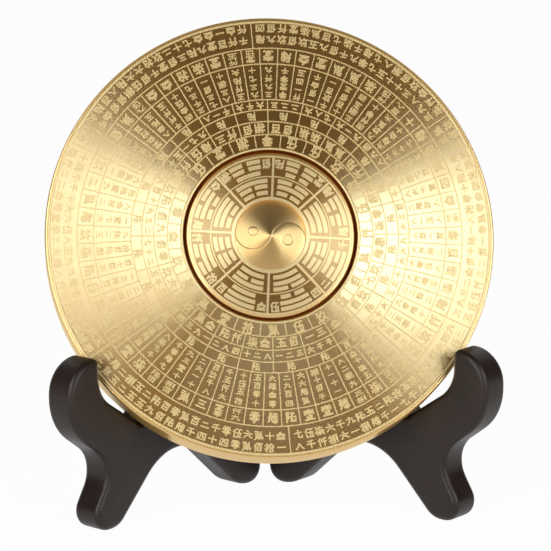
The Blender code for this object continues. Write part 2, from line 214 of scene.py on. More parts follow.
def makeTurnedBrass(name, look):
    material, tree, shader = startMaterial(name)
    place = addNode(tree, "ShaderNodeTexCoord").outputs["Object"]
    flat = addNode(tree, "ShaderNodeVectorMath", {"operation": "MULTIPLY", 1: (1, 1, 0)}, {0: place})
    radius = addNode(tree, "ShaderNodeVectorMath", {"operation": "LENGTH"}, {0: flat.outputs[0]})
    # Feed marks are about 0.1 mm apart on the real disc: drawn a few times coarser, so that they show
    marks = addNode(tree, "ShaderNodeTexNoise",
                    {"noise_dimensions": "1D", "Scale": 1 / (look["groovePitch"] * mm), "Detail": 3.0,
                     "Roughness": 0.7}, {"W": radius.outputs["Value"]})
    tint = addNode(tree, "ShaderNodeMapRange",
                   {"From Min": 0.25, "From Max": 0.75, "To Min": look["tint"][0], "To Max": look["tint"][1]},
                   {"Value": marks.outputs["Fac"]})
    colour = addNode(tree, "ShaderNodeVectorMath", {"operation": "SCALE", 0: hexToLinear(look["colour"])[:3]},
                     {"Scale": tint.outputs["Result"]})
    tree.links.new(colour.outputs[0], shader.inputs["Base Color"])
    # Light spreads across the marks, so the shader's own grain direction points out from the axis
    outward = addNode(tree, "ShaderNodeVectorMath", {"operation": "NORMALIZE"}, {0: flat.outputs[0]})
    tangent = addNode(tree, "ShaderNodeVectorTransform", {"vector_type": "VECTOR", "convert_from": "OBJECT",
                                                          "convert_to": "WORLD"}, {0: outward.outputs[0]})
    tree.links.new(tangent.outputs[0], shader.inputs["Tangent"])
    bump = addNode(tree, "ShaderNodeBump", {"Strength": 0.35, "Distance": look["grooveDepth"] * mm},
                   {"Height": marks.outputs["Fac"]})
    normals = []
    for key in ("lean", "glossLean"):
        slope = addNode(tree, "ShaderNodeMath",
                        {"operation": "MULTIPLY_ADD", 1: look["dome"] / disc["radius"], 2: look[key]},
                        {0: radius.outputs["Value"]})
        lean = addNode(tree, "ShaderNodeVectorMath", {"operation": "SCALE"},
                       {0: tangent.outputs[0], "Scale": slope.outputs[0]})
        leaned = addNode(tree, "ShaderNodeVectorMath", {"operation": "ADD"},
                         {0: bump.outputs["Normal"], 1: lean.outputs[0]})
        normals.append(addNode(tree, "ShaderNodeVectorMath", {"operation": "NORMALIZE"},
                               {0: leaned.outputs[0]}))
    tree.links.new(normals[0].outputs[0], shader.inputs["Normal"])
    shader.inputs["Metallic"].default_value = 1
    shader.inputs["Roughness"].default_value = look["roughness"]
    shader.inputs["Anisotropic"].default_value = look["anisotropy"]
    # The lacquer lies in soft patches, and a little heavier on the crests of the marks
    patch = addNode(tree, "ShaderNodeTexNoise", {"Scale": 1 / (look["patch"] * mm), "Detail": 4.0},
                    {"Vector": place})
    both = addNode(tree, "ShaderNodeMath", {"operation": "ADD"}, {0: patch.outputs["Fac"],
                                                                  1: marks.outputs["Fac"]})
    share = addNode(tree, "ShaderNodeMapRange", {"From Min": 0.7, "From Max": 1.3,
                                                 "To Min": look["glossShare"] * (1 - look["patchSwing"]),
                                                 "To Max": look["glossShare"] * (1 + look["patchSwing"])},
                    {"Value": both.outputs[0]})
    gloss = addNode(tree, "ShaderNodeBsdfAnisotropic", {"distribution": "BECKMANN",
                                                        "Color": hexToLinear(look["gloss"]),
                                                        "Roughness": look["glossRoughness"],
                                                        "Anisotropy": look["glossAnisotropy"]},
                    {"Tangent": tangent.outputs[0], "Normal": normals[1].outputs[0]})
    blend = addNode(tree, "ShaderNodeMixShader", {}, {0: share.outputs["Result"], 1: shader.outputs[0],
                                                      2: gloss.outputs[0]})
    output = [node for node in tree.nodes if node.type == "OUTPUT_MATERIAL"][0]
    tree.links.new(blend.outputs[0], output.inputs["Surface"])
    return material


def makeMetal(name, look):
    material, tree, shader = startMaterial(name)
    place = addNode(tree, "ShaderNodeTexCoord").outputs["Object"]
    grain = addNode(tree, "ShaderNodeTexNoise", {"Scale": 1 / (look["grain"] * mm), "Detail": 2.0},
                    {"Vector": place})
    tint = addNode(tree, "ShaderNodeMapRange",
                   {"From Min": 0.3, "From Max": 0.7, "To Min": look["tint"][0], "To Max": look["tint"][1]},
                   {"Value": grain.outputs["Fac"]})
    colour = addNode(tree, "ShaderNodeVectorMath", {"operation": "SCALE", 0: hexToLinear(look["colour"])[:3]},
                     {"Scale": tint.outputs["Result"]})
    tree.links.new(colour.outputs[0], shader.inputs["Base Color"])
    bump = addNode(tree, "ShaderNodeBump", {"Strength": 0.3, "Distance": look["grainDepth"] * mm},
                   {"Height": grain.outputs["Fac"]})
    tree.links.new(bump.outputs["Normal"], shader.inputs["Normal"])
    shader.inputs["Metallic"].default_value = 1
    shader.inputs["Roughness"].default_value = look["roughness"]
    return material


# ABS, injection moulded in a dark brown that clouds a little: a satin skin, soft in its highlights. Its
# spark-eroded grain is about 0.2 mm across and is drawn coarser, so that it shows
plasticLook = {"colour": "#150d09", "paler": "#271b14", "cloud": 9, "roughness": (0.35, 0.48),
               "grain": 0.75, "grainDepth": 0.16}


def makePlastic(name, look):
    material, tree, shader = startMaterial(name)
    place = addNode(tree, "ShaderNodeTexCoord").outputs["Object"]
    grain = addNode(tree, "ShaderNodeTexNoise", {"Scale": 1 / (look["grain"] * mm), "Detail": 3.0,
                                                 "Roughness": 0.6}, {"Vector": place})
    cloud = addNode(tree, "ShaderNodeTexNoise", {"Scale": 1 / (look["cloud"] * mm), "Detail": 4.0},
                    {"Vector": place})
    blend = addNode(tree, "ShaderNodeMix", {"data_type": "RGBA"}, {"Factor": cloud.outputs["Fac"]})
    blend.inputs[6].default_value = hexToLinear(look["colour"])
    blend.inputs[7].default_value = hexToLinear(look["paler"])
    tree.links.new(blend.outputs[2], shader.inputs["Base Color"])
    rough = addNode(tree, "ShaderNodeMapRange", {"From Min": 0.3, "From Max": 0.7,
                                                 "To Min": look["roughness"][0],
                                                 "To Max": look["roughness"][1]},
                    {"Value": cloud.outputs["Fac"]})
    tree.links.new(rough.outputs["Result"], shader.inputs["Roughness"])
    bump = addNode(tree, "ShaderNodeBump", {"Strength": 0.5, "Distance": look["grainDepth"] * mm},
                   {"Height": grain.outputs["Fac"]})
    tree.links.new(bump.outputs["Normal"], shader.inputs["Normal"])
    shader.inputs["IOR"].default_value = 1.54
    shader.inputs["Specular IOR Level"].default_value = 0.3
    return material


# Hidden metals: ground bearing steel, pressed bronze and zinc plate, each with the marks of its making
steelLook = {"colour": "#c3c5c8", "roughness": 0.22, "grain": 0.3, "grainDepth": 0.01, "tint": (0.94, 1.04)}
bronzeLook = dict(steelLook, colour="#b98a54", roughness=0.4, grain=0.4)
zincLook = dict(steelLook, colour="#c8cacd", roughness=0.34, grain=0.5)

turnedBrass = makeTurnedBrass("turnedBrass", turnedBrassLook)
dialBrass = makeTurnedBrass("dialBrass", dialBrassLook)
taijiBrass = makeTurnedBrass("taijiBrass", taijiBrassLook)
rimBrass = makeTurnedBrass("rimBrass", rimBrassLook)
raisedBrass = makeTurnedBrass("raisedBrass", raisedBrassLook)
dialReliefAndSheen = makeTurnedBrass("dialReliefAndSheen", dialReliefAndSheenLook)
paintedShadeBrass = makeTurnedBrass("paintedShadeBrass", paintedShadeBrassLook)
plastic = makePlastic("mouldedAbs", plasticLook)
steel = makeMetal("groundSteel", steelLook)
bronze = makeMetal("pressedBronze", bronzeLook)
zinc = makeMetal("zincPlate", zincLook)
print("materials made")


# Outer plate

plate = {"steps": 256, "chamfer": 0.9, "beadWidth": 0.6, "beadHeight": 0.25, "recess": 23.3,
         "collar": 0.8, "recessDepth": 2.5, "lipBack": 3.1, "lip": 7.3, "pocket": 9.8, "cover": 13.3,
         "ledge": 10.1, "step": 0.18, "rimRun": 0.3, "rimDrop": 0.5, "gapTop": 0.15,
         "fillets": {"collar": 0.34, "fold": 0.04, "beadInner": 0.18, "beadOuter": 0.2, "step": 0.05,
                     "rimTop": 0.24, "rim": 0.3, "cover": 0.15, "bore": 0.1}}


hair = 0.02  # mm, what a face may stray from the height or radius that a test names
facesBack = -0.2  # how far up a face looks that counts as part of the back


# Gives some faces a second material, by a test of radius and height in mm and how far the face looks up
def addFinish(mesh, material, test):
    mesh.materials.append(material)
    for face in mesh.polygons:
        if test(math.hypot(face.center.x, face.center.y) / mm, face.center.z / mm, face.normal.z):
            face.material_index = len(mesh.materials) - 1


def makePlate():
    p = plate
    rim = disc["radius"] / mm
    back = disc["thickness"] / mm
    beadOuter = rim - p["chamfer"]
    beadInner = beadOuter - p["beadWidth"]
    collarOuter = p["recess"] + p["collar"]
    f = p["fillets"]
    corners = [
        (p["recess"], p["beadHeight"], f["collar"]), (collarOuter, p["beadHeight"], f["collar"]),
        (collarOuter, 0, f["fold"]), (beadInner, 0, f["fold"]), (beadInner, p["beadHeight"], f["beadInner"]),
        (beadOuter, p["beadHeight"], f["beadOuter"]), (beadOuter + p["step"], 0, f["step"]),
        (rim - p["rimRun"], 0, f["rimTop"]), (rim, -p["rimDrop"], f["rim"]),
        (rim, p["chamfer"] - back, f["rim"]), (rim - p["chamfer"], -back, f["rim"]),
        (p["cover"], -back, f["cover"]), (p["cover"], -p["ledge"], 0), (p["pocket"], -p["ledge"], f["bore"]),
        (p["pocket"], -p["lipBack"], 0), (p["lip"], -p["lipBack"], 0), (p["lip"], -p["recessDepth"], 0),
        (p["recess"], -p["recessDepth"], f["bore"])]
    bm = bmesh.new()
    addLathe(bm, [(r * mm, z * mm) for r, z in filleted(corners)], p["steps"])
    mesh = meshFromBm(bm, "plateBody")
    body = makePiece("plateBody", mesh, turnedBrass, discPlace, "plate", 40)
    addFinish(mesh, raisedBrass, lambda r, z, up: z > hair)
    addFinish(mesh, rimBrass, lambda r, z, up: z < hair and (r > beadOuter or up < facesBack))
    # The recess round the dial takes painted shade and a painted reflection of brass in brass
    addFinish(mesh, paintedShadeBrass, lambda r, z, up: r < p["recess"] + hair and z < -p["gapTop"])
    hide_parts("outer_plate")


makePlate()
print("plate turned")


# Engraving: every glyph is a plain numeral, drawn as strokes on a ten by ten grid, x then y in each pair

simpleGlyphs = {
    "1": "1595", "2": "2777 1292", "3": "2888 3575 1292", "4": "1898911118 484533 686484",
    "5": "1999 5941 258571 0191", "6": "4958 1696 4411 6491", "7": "1687 5952619193",
    "8": "473311 577391", "9": "494511 1777729293", "10": "1595 5951",
    "100": "1999 5947 2787812127 2484", "1000": "7928 1595 5851"}
formalGlyphs = {
    "1": "1898 5957 2777 15169695 3474723234 1090 4140 6160",
    "2": "1949 1777 79829193 22256562 444210 5261",
    "3": "5937 3777 1696 5714 6694 3373 2282 1191",
    "4": "2949 2747 2924 1555 2411 3451 7970 6898 5696 6494 6292 5191",
    "5": "3916 2720 4999 7960 459580 3090",
    "6": "1910 1939263423 6961 5888 4595 53519193",
    "7": "1928 1625 0213 3788 595595 1393 5450 5320 5390",
    "8": "0737 292011 0334 4969664649 446460 5640 8883 9990",
    "9": "1939 1636 0142 2921 6945 57976240 7490",
    "10": "0737 292011 0334 6946 6996 5585 5484805054",
    "100": "3916 2720 4999 6957 4787814147 4484",
    "1000": "3916 2720 9947 4595 7870",
    "0": "2989 16179796 5955 3675 5513 5593 3373 327250"}


def strokeLists(glyphs):
    return {key: [[(int(s[i]) / 9 - 0.5, int(s[i + 1]) / 9 - 0.5) for i in range(0, len(s), 2)]
                  for s in text.split()] for key, text in glyphs.items()}


simpleStrokes = strokeLists(simpleGlyphs)
formalStrokes = strokeLists(formalGlyphs)
# Crossing bars differ a little in height, so that no two tops lie in one plane
relief = {"top": 0.11, "root": 0.06, "line": 0.29, "strokeLift": 0.002, "spokeDrop": 0.004}
dice = random.Random(8)


# A closed bar of even width along some points, from the root up to a height, all in metres
def addBar(bm, points, width, top, root):
    sides = []
    count = len(points)
    for i, point in enumerate(points):
        here = Vector(point)
        back = (here - Vector(points[i - 1])).normalized() if i > 0 else None
        ahead = (Vector(points[i + 1]) - here).normalized() if i < count - 1 else None
        along = ((back or ahead) + (ahead or back)).normalized()
        across = Vector((-along.y, along.x))
        stretch = 1 / max(0.5, along.dot(ahead or back))
        if i == 0:
            here = here - along * width / 2
        if i == count - 1:
            here = here + along * width / 2
        offset = across * (width / 2 * stretch)
        sides.append((here - offset, here + offset))
    loops = []
    for left, right in sides:
        loops.append([bm.verts.new((left.x, left.y, root)), bm.verts.new((left.x, left.y, top)),
                      bm.verts.new((right.x, right.y, top)), bm.verts.new((right.x, right.y, root))])
    for a, b in zip(loops, loops[1:]):
        for i in range(4):
            j = (i + 1) % 4
            bm.faces.new((a[i], a[j], b[j], b[i]))
    bm.faces.new(loops[0])
    bm.faces.new(loops[-1][::-1])


# Bends a glyph round the disc, its top towards the middle; angle is clockwise from the top of the disc
def addGlyph(bm, strokes, radius, angle, width, height, stroke):
    a = math.radians(angle)
    for number, line in enumerate(strokes):
        points = []
        for x, y in line:
            r = (radius - y * (height - stroke)) * mm
            turn = a - x * (width - stroke) / radius
            points.append((r * math.sin(turn), r * math.cos(turn)))
        top = relief["top"] + number * relief["strokeLift"]
        addBar(bm, points, stroke * mm, top * mm, -relief["root"] * mm)


def addRing(bm, radius, width, top=None):
    high = (top or relief["top"]) * mm
    low = -relief["root"] * mm
    inner, outer = (radius - width / 2) * mm, (radius + width / 2) * mm
    addLathe(bm, [(inner, high), (outer, high), (outer, low), (inner, low)], plate["steps"])


def addSpoke(bm, angle, inner, outer, width):
    a = math.radians(angle)
    points = [(r * mm * math.sin(a), r * mm * math.cos(a)) for r in (inner, outer)]
    addBar(bm, points, width * mm, (relief["top"] - relief["spokeDrop"]) * mm, -relief["root"] * mm)


def pickGlyph(dense):
    if dice.random() < dense:
        return formalStrokes[dice.choice(list(formalStrokes))]
    return simpleStrokes[dice.choice(list(simpleStrokes))]


# Each kind of numeral: its width, height and stroke in mm, and the share of them in the dense formal form
numerals = {"text": (2.6, 2.4, 0.36, 0.45), "name": (3.0, 3.0, 0.44, 0.75),
            "halfName": (2.6, 1.65, 0.26, 0.8), "season": (2.1, 2.15, 0.36, 0),
            "term": (2.75, 2.7, 0.4, 0.7), "mountain": (3.0, 3.05, 0.44, 1),
            "figure": (2.6, 2.7, 0.4, 0.8)}


def addNumeral(bm, kind, radius, angle):
    *size, formal = numerals[kind]
    addGlyph(bm, pickGlyph(formal), radius, angle, *size)


# Rings of the pattern as shares of the disc's radius, and the start, step and count of their cells
pattern = {"rings": (0.858, 0.785, 0.620, 0.5725, 0.519, 0.459), "edge": 0.972, "inner": 0.403,
           "sections": (-3.2, 60, 6), "names": (4.3, 5.625, 64), "seasons": (0.8, 15, 24),
           "mountains": (-7, 15, 24), "textRows": (0.952, 0.9005), "nameRow": 0.8215,
           "columnRows": (0.759, 0.718, 0.681, 0.645), "columnFormal": (0.1, 0.6, 0.6, 0.15),
           "columnSize": (2.15, 1.9, 0.3), "seasonRows": (0.5965, 0.546), "termRow": 0.489,
           "mountainRow": 0.431, "flip": (151, 331), "textPitch": 3.06, "textCount": 19, "textMargin": 0.9,
           "splitNames": 0.3, "halfStep": 0.9, "seasonStep": 2.75, "termStep": 1.62,
           "singleSize": (2.3, 2.3, 0.36)}


def makeEngraving():
    g = pattern
    rim = disc["radius"] / mm
    raised = bmesh.new()
    for share in g["rings"]:
        addRing(raised, share * rim, relief["line"])
    spokes = (("sections", g["rings"][0], g["edge"]), ("names", g["rings"][2], g["rings"][0]),
              ("seasons", g["rings"][5], g["rings"][2]), ("mountains", g["inner"], g["rings"][5]))
    for cells, inner, outer in spokes:
        start, step, count = g[cells]
        for k in range(count):
            addSpoke(raised, start + step * k, inner * rim, outer * rim, relief["line"])

    # Two rows of small numerals in six sections
    start, step, count = g["sections"]
    for k in range(count):
        for share in g["textRows"]:
            for i in range(g["textCount"]):
                angle = start + step * (k + 1) - g["textMargin"] - g["textPitch"] * (i + 0.5)
                addNumeral(raised, "text", share * rim, angle)
    # Names of the 64 cells: one large numeral, or two small ones
    start, step, count = g["names"]
    radius = g["nameRow"] * rim
    for k in range(count):
        middle = start + step * (k + 0.5)
        if dice.random() < g["splitNames"]:
            for side in (-1, 1):
                addNumeral(raised, "halfName", radius + side * g["halfStep"], middle)
        else:
            addNumeral(raised, "name", radius, middle)
        for share, dense in zip(g["columnRows"], g["columnFormal"]):
            addGlyph(raised, pickGlyph(dense), share * rim, middle, *g["columnSize"])
    # Two rings of 24 cells change places half way round: three numerals, or one between bare fields
    start, step, count = g["seasons"]
    for k in range(count):
        middle = start + step * (k + 0.5)
        outerSingle = g["flip"][0] < middle < g["flip"][1]
        tripleShare, singleShare = g["seasonRows"][::-1] if outerSingle else g["seasonRows"]
        for side in (-1, 0, 1):
            radius = tripleShare * rim
            addNumeral(raised, "season", radius, middle - side * math.degrees(g["seasonStep"] / radius))
        addGlyph(raised, formalStrokes["6"], singleShare * rim, middle, *g["singleSize"])
        radius = g["termRow"] * rim
        for side in (-1, 1):
            addNumeral(raised, "term", radius, middle - side * math.degrees(g["termStep"] / radius))
    start, step, count = g["mountains"]
    for k in range(count):
        addNumeral(raised, "mountain", g["mountainRow"] * rim, start + step * (k + 0.5))
    mesh = meshFromBm(raised, "plateEngraving")
    makePiece("plateEngraving", mesh, raisedBrass, discPlace, "plate")


makeEngraving()
print("plate engraved")


# Turning dial, with its eight trigrams twice, numerals in the outer corners and the taiji in the middle

dial = {"steps": 192, "radius": 22.5, "thickness": 2.2, "slope": 0.8, "border": 0.5, "taiji": 9.6,
        "taijiRing": 0.8, "taijiDepth": 0.38, "taijiEdge": 0.42, "dot": 1.3, "hub": 6.2, "shoulder": 3.1,
        "spigot": 4.7, "spigotBack": 8.1, "bore": 1.8, "boreTop": 2.9, "relief": 0.2, "bar": 1.1,
        "split": 3.7, "stepRun": 0.15, "stepDrop": 0.12, "stepFillet": 0.05, "edgeFillet": 0.6,
        "borderFillet": 0.1, "taijiFloor": 0.5, "rimBottom": 0.6, "gapTop": 0.7, "spokeMargin": 0.5,
        "spokeDrop": 0.02, "ringWidth": 0.3, "ringDrop": 0.01, "arcSteps": 48, "dotSteps": 40,
        "arcStep": 3, "walls": 0.35, "tops": 0.98,
        "outer": ("000", "001", "101", "011", "111", "110", "010", "100"),
        "inner": ("010", "111", "100", "110", "101", "000", "011", "001"),
        "outerBars": ((17.05, 11.2), (18.75, 12.2), (20.3, 12.3)),
        "innerBars": ((11.6, 16.6), (13.35, 16.8), (14.85, 17.2)),
        "divider": 0.6, "midRing": 15.97, "figureRadius": 19.6, "figureAngle": 5.2}


def addArcBar(bm, radius, start, end, width, top):
    steps = max(2, math.ceil((end - start) / dial["arcStep"]))
    points = []
    for i in range(steps + 1):
        a = math.radians(start + (end - start) * i / steps)
        points.append((radius * mm * math.sin(a), radius * mm * math.cos(a)))
    rows = []
    for side in (-1, 1):
        rows.append([(x * (1 + side * width / 2 / radius), y * (1 + side * width / 2 / radius))
                     for x, y in points])
    outline = rows[0] + rows[1][::-1]
    low = [bm.verts.new((x, y, -relief["root"] * mm)) for x, y in outline]
    high = [bm.verts.new((x, y, top * mm)) for x, y in outline]
    bm.faces.new(low)
    bm.faces.new(high[::-1])
    for i in range(len(outline)):
        j = (i + 1) % len(outline)
        bm.faces.new((low[j], low[i], high[i], high[j]))


# Fills flat outlines, the later ones as holes, and gives them a thickness with rounded edges
def plateMesh(name, outlines, thickness, middle, edge, resolution=2):
    curve = bpy.data.curves.new(name, "CURVE")
    curve.dimensions = "2D"
    curve.fill_mode = "BOTH"
    curve.extrude = thickness / 2 - edge
    curve.bevel_depth = edge
    curve.bevel_resolution = resolution
    curve.offset = -edge
    for outline in outlines:
        spline = curve.splines.new("POLY")
        spline.points.add(len(outline) - 1)
        for point, (x, y) in zip(spline.points, outline):
            point.co = (x, y, 0, 1)
        spline.use_cyclic_u = True
    holder = bpy.data.objects.new(name, curve)
    bpy.context.scene.collection.objects.link(holder)
    bpy.context.view_layer.update()
    mesh = bpy.data.meshes.new_from_object(holder.evaluated_get(bpy.context.evaluated_depsgraph_get()))
    bpy.data.objects.remove(holder, do_unlink=True)
    bm = bmesh.new()
    bm.from_mesh(mesh)
    bmesh.ops.remove_doubles(bm, verts=bm.verts, dist=0.000002)
    bmesh.ops.recalc_face_normals(bm, faces=bm.faces)
    bmesh.ops.translate(bm, verts=bm.verts, vec=(0, 0, middle))
    bm.to_mesh(mesh)
    bm.free()
    return mesh


def circleArc(centre, radius, start, end, steps):
    turns = [math.radians(start + (end - start) * i / steps) for i in range(steps + 1)]
    return [(centre[0] + radius * math.cos(t), centre[1] + radius * math.sin(t)) for t in turns]


# A flat piece whose upper edge is rounded; the loops of its outline are given for each inset of that edge
def roundedSlab(name, loopsAt, depth, edge, steps=5):
    turns = [math.pi / 2 * i / steps for i in range(steps + 1)]
    levels = [(0, -depth)] + [(edge * (1 - math.cos(t)), edge * (math.sin(t) - 1)) for t in turns]
    bm = bmesh.new()
    rims = [[[bm.verts.new((x, y, z)) for x, y in loop] for loop in loopsAt(inset)] for inset, z in levels]
    for low, high in zip(rims, rims[1:]):
        for a, b in zip(low, high):
            for i in range(len(a)):
                bm.faces.new((a[i - 1], a[i], b[i], b[i - 1]))
    for rim in (rims[0], rims[-1]):
        border = [bm.edges.get((loop[i - 1], loop[i])) for loop in rim for i in range(len(loop))]
        bmesh.ops.triangle_fill(bm, use_beauty=True, edges=border)
    return meshFromBm(bm, name)


def makeDial():
    d = dial
    borderOuter = d["radius"] - d["slope"]
    borderInner = borderOuter - d["border"]
    shelf = d["relief"] - d["stepDrop"]
    corners = [
        (borderInner, d["relief"], 0), (borderOuter, d["relief"], d["borderFillet"]),
        (borderOuter + d["stepRun"], shelf, d["stepFillet"]), (d["radius"], shelf, d["edgeFillet"]),
        (d["radius"], -d["thickness"], d["borderFillet"]), (d["hub"], -d["thickness"], 0),
        (d["hub"], -d["shoulder"], 0), (d["spigot"], -d["shoulder"], 0), (d["spigot"], -d["spigotBack"], 0),
        (d["bore"], -d["spigotBack"], 0), (d["bore"], -d["boreTop"], 0)]
    front = [(0, -d["taijiDepth"]), (d["taiji"], -d["taijiDepth"]), (d["taiji"], 0), (borderInner, 0)]
    profile = front + filleted(corners) + [(0, -d["boreTop"])]
    bm = bmesh.new()
    addLathe(bm, [(r * mm, z * mm) for r, z in profile], d["steps"])
    mesh = meshFromBm(bm, "dialBody")
    body = makePiece("dialBody", mesh, dialBrass, dialPlace, "dial", 35)
    addFinish(mesh, taijiBrass, lambda r, z, up: r < d["taiji"] and z > -d["taijiFloor"])
    addFinish(mesh, dialReliefAndSheen, lambda r, z, up: z > hair)
    addFinish(mesh, rimBrass, lambda r, z, up: r > borderOuter and z > -d["rimBottom"])
    # The dial's side below the gap's top takes painted shade and a painted reflection of brass in brass
    addFinish(mesh, paintedShadeBrass, lambda r, z, up: r > d["radius"] - hair and z < -d["gapTop"])
    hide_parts("inner_dial")

    bm = bmesh.new()
    for place in range(8):
        for trigrams, bars in ((d["outer"], d["outerBars"]), (d["inner"], d["innerBars"])):
            for line, (radius, reach) in zip(trigrams[place], bars):
                middle = 45 * (place + 0.5)
                split = d["split"] / 2 if line == "0" else 0
                if split:
                    addArcBar(bm, radius, middle - reach, middle - split, d["bar"], d["relief"])
                    addArcBar(bm, radius, middle + split, middle + reach, d["bar"], d["relief"])
                else:
                    addArcBar(bm, radius, middle - reach, middle + reach, d["bar"], d["relief"])
        a = math.radians(45 * place)
        ends = [(r * mm * math.sin(a), r * mm * math.cos(a))
                for r in (d["taiji"] + d["spokeMargin"], borderOuter - d["spokeMargin"])]
        addBar(bm, ends, d["divider"] * mm, (d["relief"] - d["spokeDrop"]) * mm, -relief["root"] * mm)
        for side in (-1, 1):
            addNumeral(bm, "figure", d["figureRadius"], 45 * place + side * d["figureAngle"])
    addRing(bm, d["midRing"], d["ringWidth"], d["relief"] - d["ringDrop"])
    addRing(bm, d["taiji"] + d["taijiRing"] / 2, d["taijiRing"], d["relief"])
    makePiece("dialRelief", meshFromBm(bm, "dialRelief"), dialReliefAndSheen, dialPlace, "dial")

    taijiPlace = discPlace @ Matrix.Rotation(-math.radians(disc["taijiTurn"]), 4, "Z")
    big = d["taiji"] * mm
    half = big / 2

    def commaLoops(inset):
        outer, concave = big - inset, half + inset
        tip = (concave ** 2 - outer ** 2 - half ** 2) / big
        outerTip = math.degrees(math.acos(max(-1, tip / outer)))
        concaveTip = math.degrees(math.acos(max(-1, (tip + half) / concave)))
        outline = circleArc((0, 0), outer, 0, -outerTip, d["arcSteps"] * 2)
        outline += circleArc((-half, 0), concave, -concaveTip, 0, d["arcSteps"])[1:]
        outline += circleArc((half, 0), half - inset, 180, 0, d["arcSteps"])[1:-1]
        return [outline, circleArc((half, 0), d["dot"] * mm + inset, 0, 360, d["dotSteps"])[:-1]]

    def dotLoops(inset):
        return [circleArc((-half, 0), d["dot"] * mm - inset, 0, 360, d["dotSteps"])[:-1]]

    for name, loops in (("taijiComma", commaLoops), ("taijiDot", dotLoops)):
        mesh = roundedSlab(name, loops, d["taijiDepth"] * 2 * mm, d["taijiEdge"] * mm)
        makePiece(name, mesh, taijiBrass, taijiPlace, "dial", 35)
        # Painted light on the taiji's steps: the rounded edges take the paler relief brass as a painted
        # highlight, the steep walls the dark brass as painted shade
        addFinish(mesh, dialReliefAndSheen, lambda r, z, up: d["walls"] < up < d["tops"])
        addFinish(mesh, paintedShadeBrass, lambda r, z, up: up <= d["walls"])


makeDial()
print("dial made")


# Folding stand: two moulded legs on a knuckled hinge

leg = {"thickness": 9.2, "reach": 76.2, "edge": 1.7, "hookHeight": 47.7, "hookBase": 37.3, "slack": 5.7,
       "crookReach": 49.1, "crookHeight": 26.4, "topWidth": 6.7, "endGap": 0.8, "faceGap": 0.3,
       "knuckles": 5, "knuckleRadius": 4.2, "knuckleGap": 0.4, "hingeBottom": 12, "hingeDrop": 18,
       "pin": 3, "pinHead": 2.7, "pinHeadHeight": 1.2, "pinFloor": 2, "clearance": 0.3,
       "hook": ((1.000, 0.996, 1.00), (1.000, 0.626, 1.62)),
       "foot": ((0.787, 0.371, 0.90), (0.930, 0.000, 0.53), (0.766, 0.000, 0.70)),
       "arch": ((0.547, 0.352, 1.88), (0.367, 0.352, 0.78), (0.125, 0.000, 1.08)),
       "tipFillet": 0.19, "wallFillet": 1.10, "crookFillet": 0.20, "heelFillet": 0.50, "topFillet": 0.42,
       "shoulderFillet": 0.6, "filletSteps": 12, "edgeSteps": 3, "drumSteps": 48, "boreRun": 2}
leanRun = math.tan(math.radians(disc["lean"])) / math.cos(math.radians(stand["splay"]))
discRun = (disc["thickness"] / mm / math.cos(math.radians(disc["lean"]))
           / math.cos(math.radians(stand["splay"])))
leg["hookWall"] = (leg["crookReach"] + discRun - (leg["hookBase"] - leg["crookHeight"]) * leanRun
                   + leg["slack"])
leg["headRoom"] = leg["pinHead"] + leg["clearance"] * 2
leg["supportTop"] = leg["headRoom"] + leg["topWidth"]
leg["uprightHeight"] = leg["crookHeight"] + (leg["crookReach"] - leg["supportTop"]) / leanRun
leg["hingeTop"] = leg["uprightHeight"] - leg["hingeDrop"]


def legOutline():
    thick = leg["thickness"]

    def scaled(shares):
        return [(u * leg["reach"], v * leg["hookHeight"], r * thick) for u, v, r in shares]

    tip = leg["topWidth"] * leg["topFillet"]
    corners = [(leg["hookWall"], leg["hookHeight"], leg["tipFillet"] * thick)]
    corners += scaled(leg["hook"]) + scaled(leg["foot"]) + scaled(leg["arch"])
    corners += [
        (leg["endGap"], 0, leg["heelFillet"] * thick), (leg["endGap"], leg["hingeTop"], leg["edge"]),
        (leg["headRoom"], leg["hingeTop"], leg["shoulderFillet"]),
        (leg["headRoom"], leg["uprightHeight"], tip), (leg["supportTop"], leg["uprightHeight"], tip),
        (leg["crookReach"], leg["crookHeight"], leg["crookFillet"] * thick),
        (leg["hookWall"], leg["hookBase"], leg["wallFillet"] * thick)]
    return [(x * mm, y * mm) for x, y in filleted(corners, leg["filletSteps"])]


def applyCuts(target, tools):
    for tool, operation in tools:
        step = target.modifiers.new(tool.name, "BOOLEAN")
        step.operation = operation
        step.solver = "EXACT"
        step.object = tool
    bpy.context.view_layer.update()
    mesh = bpy.data.meshes.new_from_object(target.evaluated_get(bpy.context.evaluated_depsgraph_get()))
    target.modifiers.clear()
    for tool, operation in tools:
        bpy.data.objects.remove(tool, do_unlink=True)
    return mesh


def looseObject(name, mesh, place):
    thing = bpy.data.objects.new(name, mesh)
    bpy.context.scene.collection.objects.link(thing)
    thing.matrix_world = place
    return thing


def drum(name, radius, bottom, top, place):
    bm = bmesh.new()
    bmesh.ops.create_cone(bm, cap_ends=True, segments=leg["drumSteps"], radius1=radius * mm,
                          radius2=radius * mm, depth=(top - bottom) * mm)
    bmesh.ops.translate(bm, verts=bm.verts, vec=(0, 0, (bottom + top) / 2 * mm))
    mesh = bpy.data.meshes.new(name)
    bm.to_mesh(mesh)
    bm.free()
    return looseObject(name, mesh, place)


